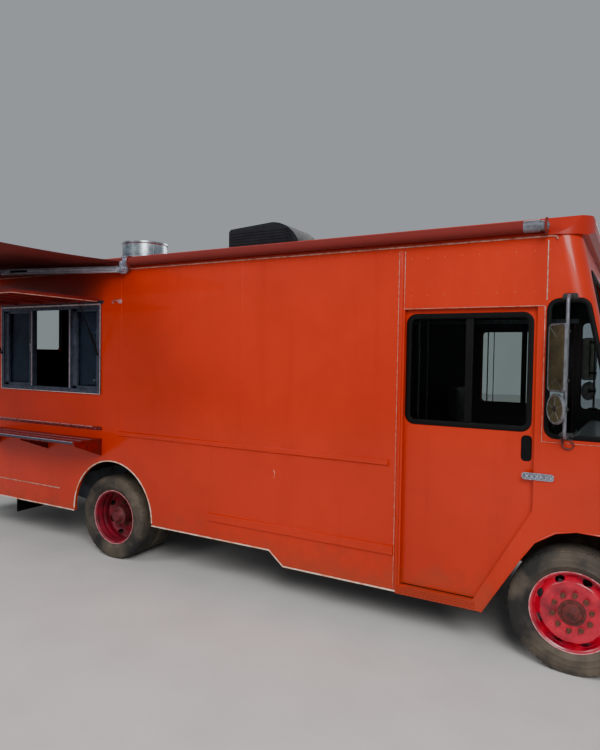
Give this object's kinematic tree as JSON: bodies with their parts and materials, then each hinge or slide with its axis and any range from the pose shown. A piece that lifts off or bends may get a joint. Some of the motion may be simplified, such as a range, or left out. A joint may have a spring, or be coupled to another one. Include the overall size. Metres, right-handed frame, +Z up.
{
  "type": "food truck",
  "caption": "Step van fitted out as a food truck, with sliding cab doors, a serving window under a lifted hatch, counter and side awnings.",
  "frame": {"origin": "on the ground under the middle of the front axle", "axes": "+X forward, +Y to the vehicle's left, +Z up"},
  "size_m": [7.725, 4.0653, 3.302],
  "materials": {
    "orange_paint": "glossy, weathered",
    "counter_metal": "painted, worn",
    "bumper_metal": "satin black",
    "chassis_black": "dusty black",
    "floor_metal": "dull",
    "engine_iron": "dirty",
    "glass": "dusty",
    "aluminium": "satin",
    "strut_black": "gloss black",
    "strut_chrome": "polished",
    "awning_metal": "painted grey",
    "awning_cloth": "acrylic cloth",
    "black_plastic": "moulded",
    "mirror_metal": "dull",
    "lamp_lens": "clear and coloured lenses",
    "red_rim": "painted red, rusty hub",
    "tyre": "worn",
    "seat_vinyl": "vinyl"
  },
  "bodies": {
    "truck": {"air_conditioner": "black_plastic", "awning_arms": "awning_metal", "awning_cases": "awning_metal", "awning_fabric": "awning_cloth", "body_side_left": "orange_paint", "body_side_right": "orange_paint", "bumpers": "bumper_metal", "cab_side_left": "orange_paint", "cab_side_right": "orange_paint", "counter": "counter_metal", "cross_members": "chassis_black", "dashboard": "black_plastic", "door_tracks": "aluminium", "driver_seat": "seat_vinyl", "engine": "engine_iron", "engine_cover": "floor_metal", "fixed_glass": "glass", "floor": "floor_metal", "frame_rails": "chassis_black", "front_axle": "chassis_black", "fuel_tank": "chassis_black", "grille": "aluminium", "lamps": "lamp_lens", "mirrors": "mirror_metal", "mud_flaps": "chassis_black", "nose": "orange_paint", "propeller_shaft": "chassis_black", "rear_axle": "chassis_black", "rear_wall": "orange_paint", "roof": "orange_paint", "roof_fan": "aluminium", "springs": "chassis_black", "wheelhouses": "floor_metal", "window_frame": "aluminium", "windscreen_frame": "orange_paint"},
    "door_right": {"door_right": "orange_paint", "door_glass_right": "glass"},
    "door_left": {"door_left": "orange_paint", "door_glass_left": "glass"},
    "rear_door": {"rear_door": "orange_paint", "rear_door_glass": "glass"},
    "hood": {"hood": "orange_paint"},
    "hatch": {"hatch": "orange_paint"},
    "strut_tubes": {"strut_tubes": "strut_black"},
    "strut_rods": {"strut_rods": "strut_chrome"},
    "knuckle_right": {"knuckle_right": "chassis_black"},
    "knuckle_left": {"knuckle_left": "chassis_black"},
    "tie_rod": {"tie_rod": "chassis_black"},
    "steering_wheel": {"steering_wheel": "black_plastic"},
    "front_wheel_right": {"front_rim_right": "red_rim", "front_tyre_right": "tyre"},
    "front_wheel_left": {"front_rim_left": "red_rim", "front_tyre_left": "tyre"},
    "rear_wheels_right": {"rear_rim_right": "red_rim", "rear_tyre_right": "tyre"},
    "rear_wheels_left": {"rear_rim_left": "red_rim", "rear_tyre_left": "tyre"}
  },
  "joints": [
    {"name": "door_right_slide", "type": "slide", "parent": "truck", "child": "door_right", "axis": [-1, 0, 0], "range_m": [0, 0.85]},
    {"name": "door_left_slide", "type": "slide", "parent": "truck", "child": "door_left", "axis": [-1, 0, 0], "range_m": [0, 0.85]},
    {"name": "rear_door_hinge", "type": "hinge", "parent": "truck", "child": "rear_door", "pos_m": [-6.718, 0.445, 1.7], "axis": [0, 0, -1], "range_deg": [0, 110]},
    {"name": "hood_hinge", "type": "hinge", "parent": "truck", "child": "hood", "pos_m": [0.29834, 0, 1.49069], "axis": [0, -1, 0], "range_deg": [0, 55]},
    {"name": "hatch_hinge", "type": "hinge", "parent": "truck", "child": "hatch", "pos_m": [-4.985, -1.23, 2.515], "axis": [1, 0, 0], "range_deg": [0, 90]},
    {"name": "strut_tilt", "type": "hinge", "parent": "truck", "child": "strut_tubes", "pos_m": [-4.985, -1.198, 2], "axis": [1, 0, 0], "range_deg": [-24.66, 0.2]},
    {"name": "strut_slide", "type": "slide", "parent": "strut_tubes", "child": "strut_rods", "axis": [0, -0.4169, 0.9089], "range_m": [-0.2085, 0.001]},
    {"name": "steer_right", "type": "hinge", "parent": "truck", "child": "knuckle_right", "pos_m": [0, -0.862, 0.403], "axis": [0, 0, 1], "range_deg": [-35, 35]},
    {"name": "steer_left", "type": "hinge", "parent": "truck", "child": "knuckle_left", "pos_m": [0, 0.862, 0.403], "axis": [0, 0, 1], "range_deg": [-35, 35]},
    {"name": "tie_rod_pivot", "type": "hinge", "parent": "knuckle_right", "child": "tie_rod", "pos_m": [-0.19, -0.862, 0.333], "axis": [0, 0, 1], "range_deg": [-35, 35]},
    {"name": "steering_wheel_turn", "type": "hinge", "parent": "truck", "child": "steering_wheel", "pos_m": [-0.4, 0.62, 1.33], "axis": [-0.8074, 0, 0.59], "range_deg": [-560, 560]},
    {"name": "front_spin_right", "type": "hinge", "parent": "knuckle_right", "child": "front_wheel_right", "pos_m": [0, -1.028, 0.403], "axis": [0, 1, 0], "continuous": true},
    {"name": "front_spin_left", "type": "hinge", "parent": "knuckle_left", "child": "front_wheel_left", "pos_m": [0, 1.028, 0.403], "axis": [0, 1, 0], "continuous": true},
    {"name": "rear_spin_right", "type": "hinge", "parent": "truck", "child": "rear_wheels_right", "pos_m": [-4.125, -0.87, 0.403], "axis": [0, 1, 0], "continuous": true},
    {"name": "rear_spin_left", "type": "hinge", "parent": "truck", "child": "rear_wheels_left", "pos_m": [-4.125, 0.87, 0.403], "axis": [0, 1, 0], "continuous": true}
  ],
  "couplings": [
    {"joint": "strut_tilt", "follows": "hatch_hinge", "ratio": -0.27182},
    {"joint": "strut_slide", "follows": "hatch_hinge", "m_per_rad": -0.13209},
    {"joint": "steer_left", "follows": "steer_right", "ratio": 1},
    {"joint": "tie_rod_pivot", "follows": "steer_right", "ratio": -1},
    {"joint": "steering_wheel_turn", "follows": "steer_right", "ratio": 16}
  ]
}
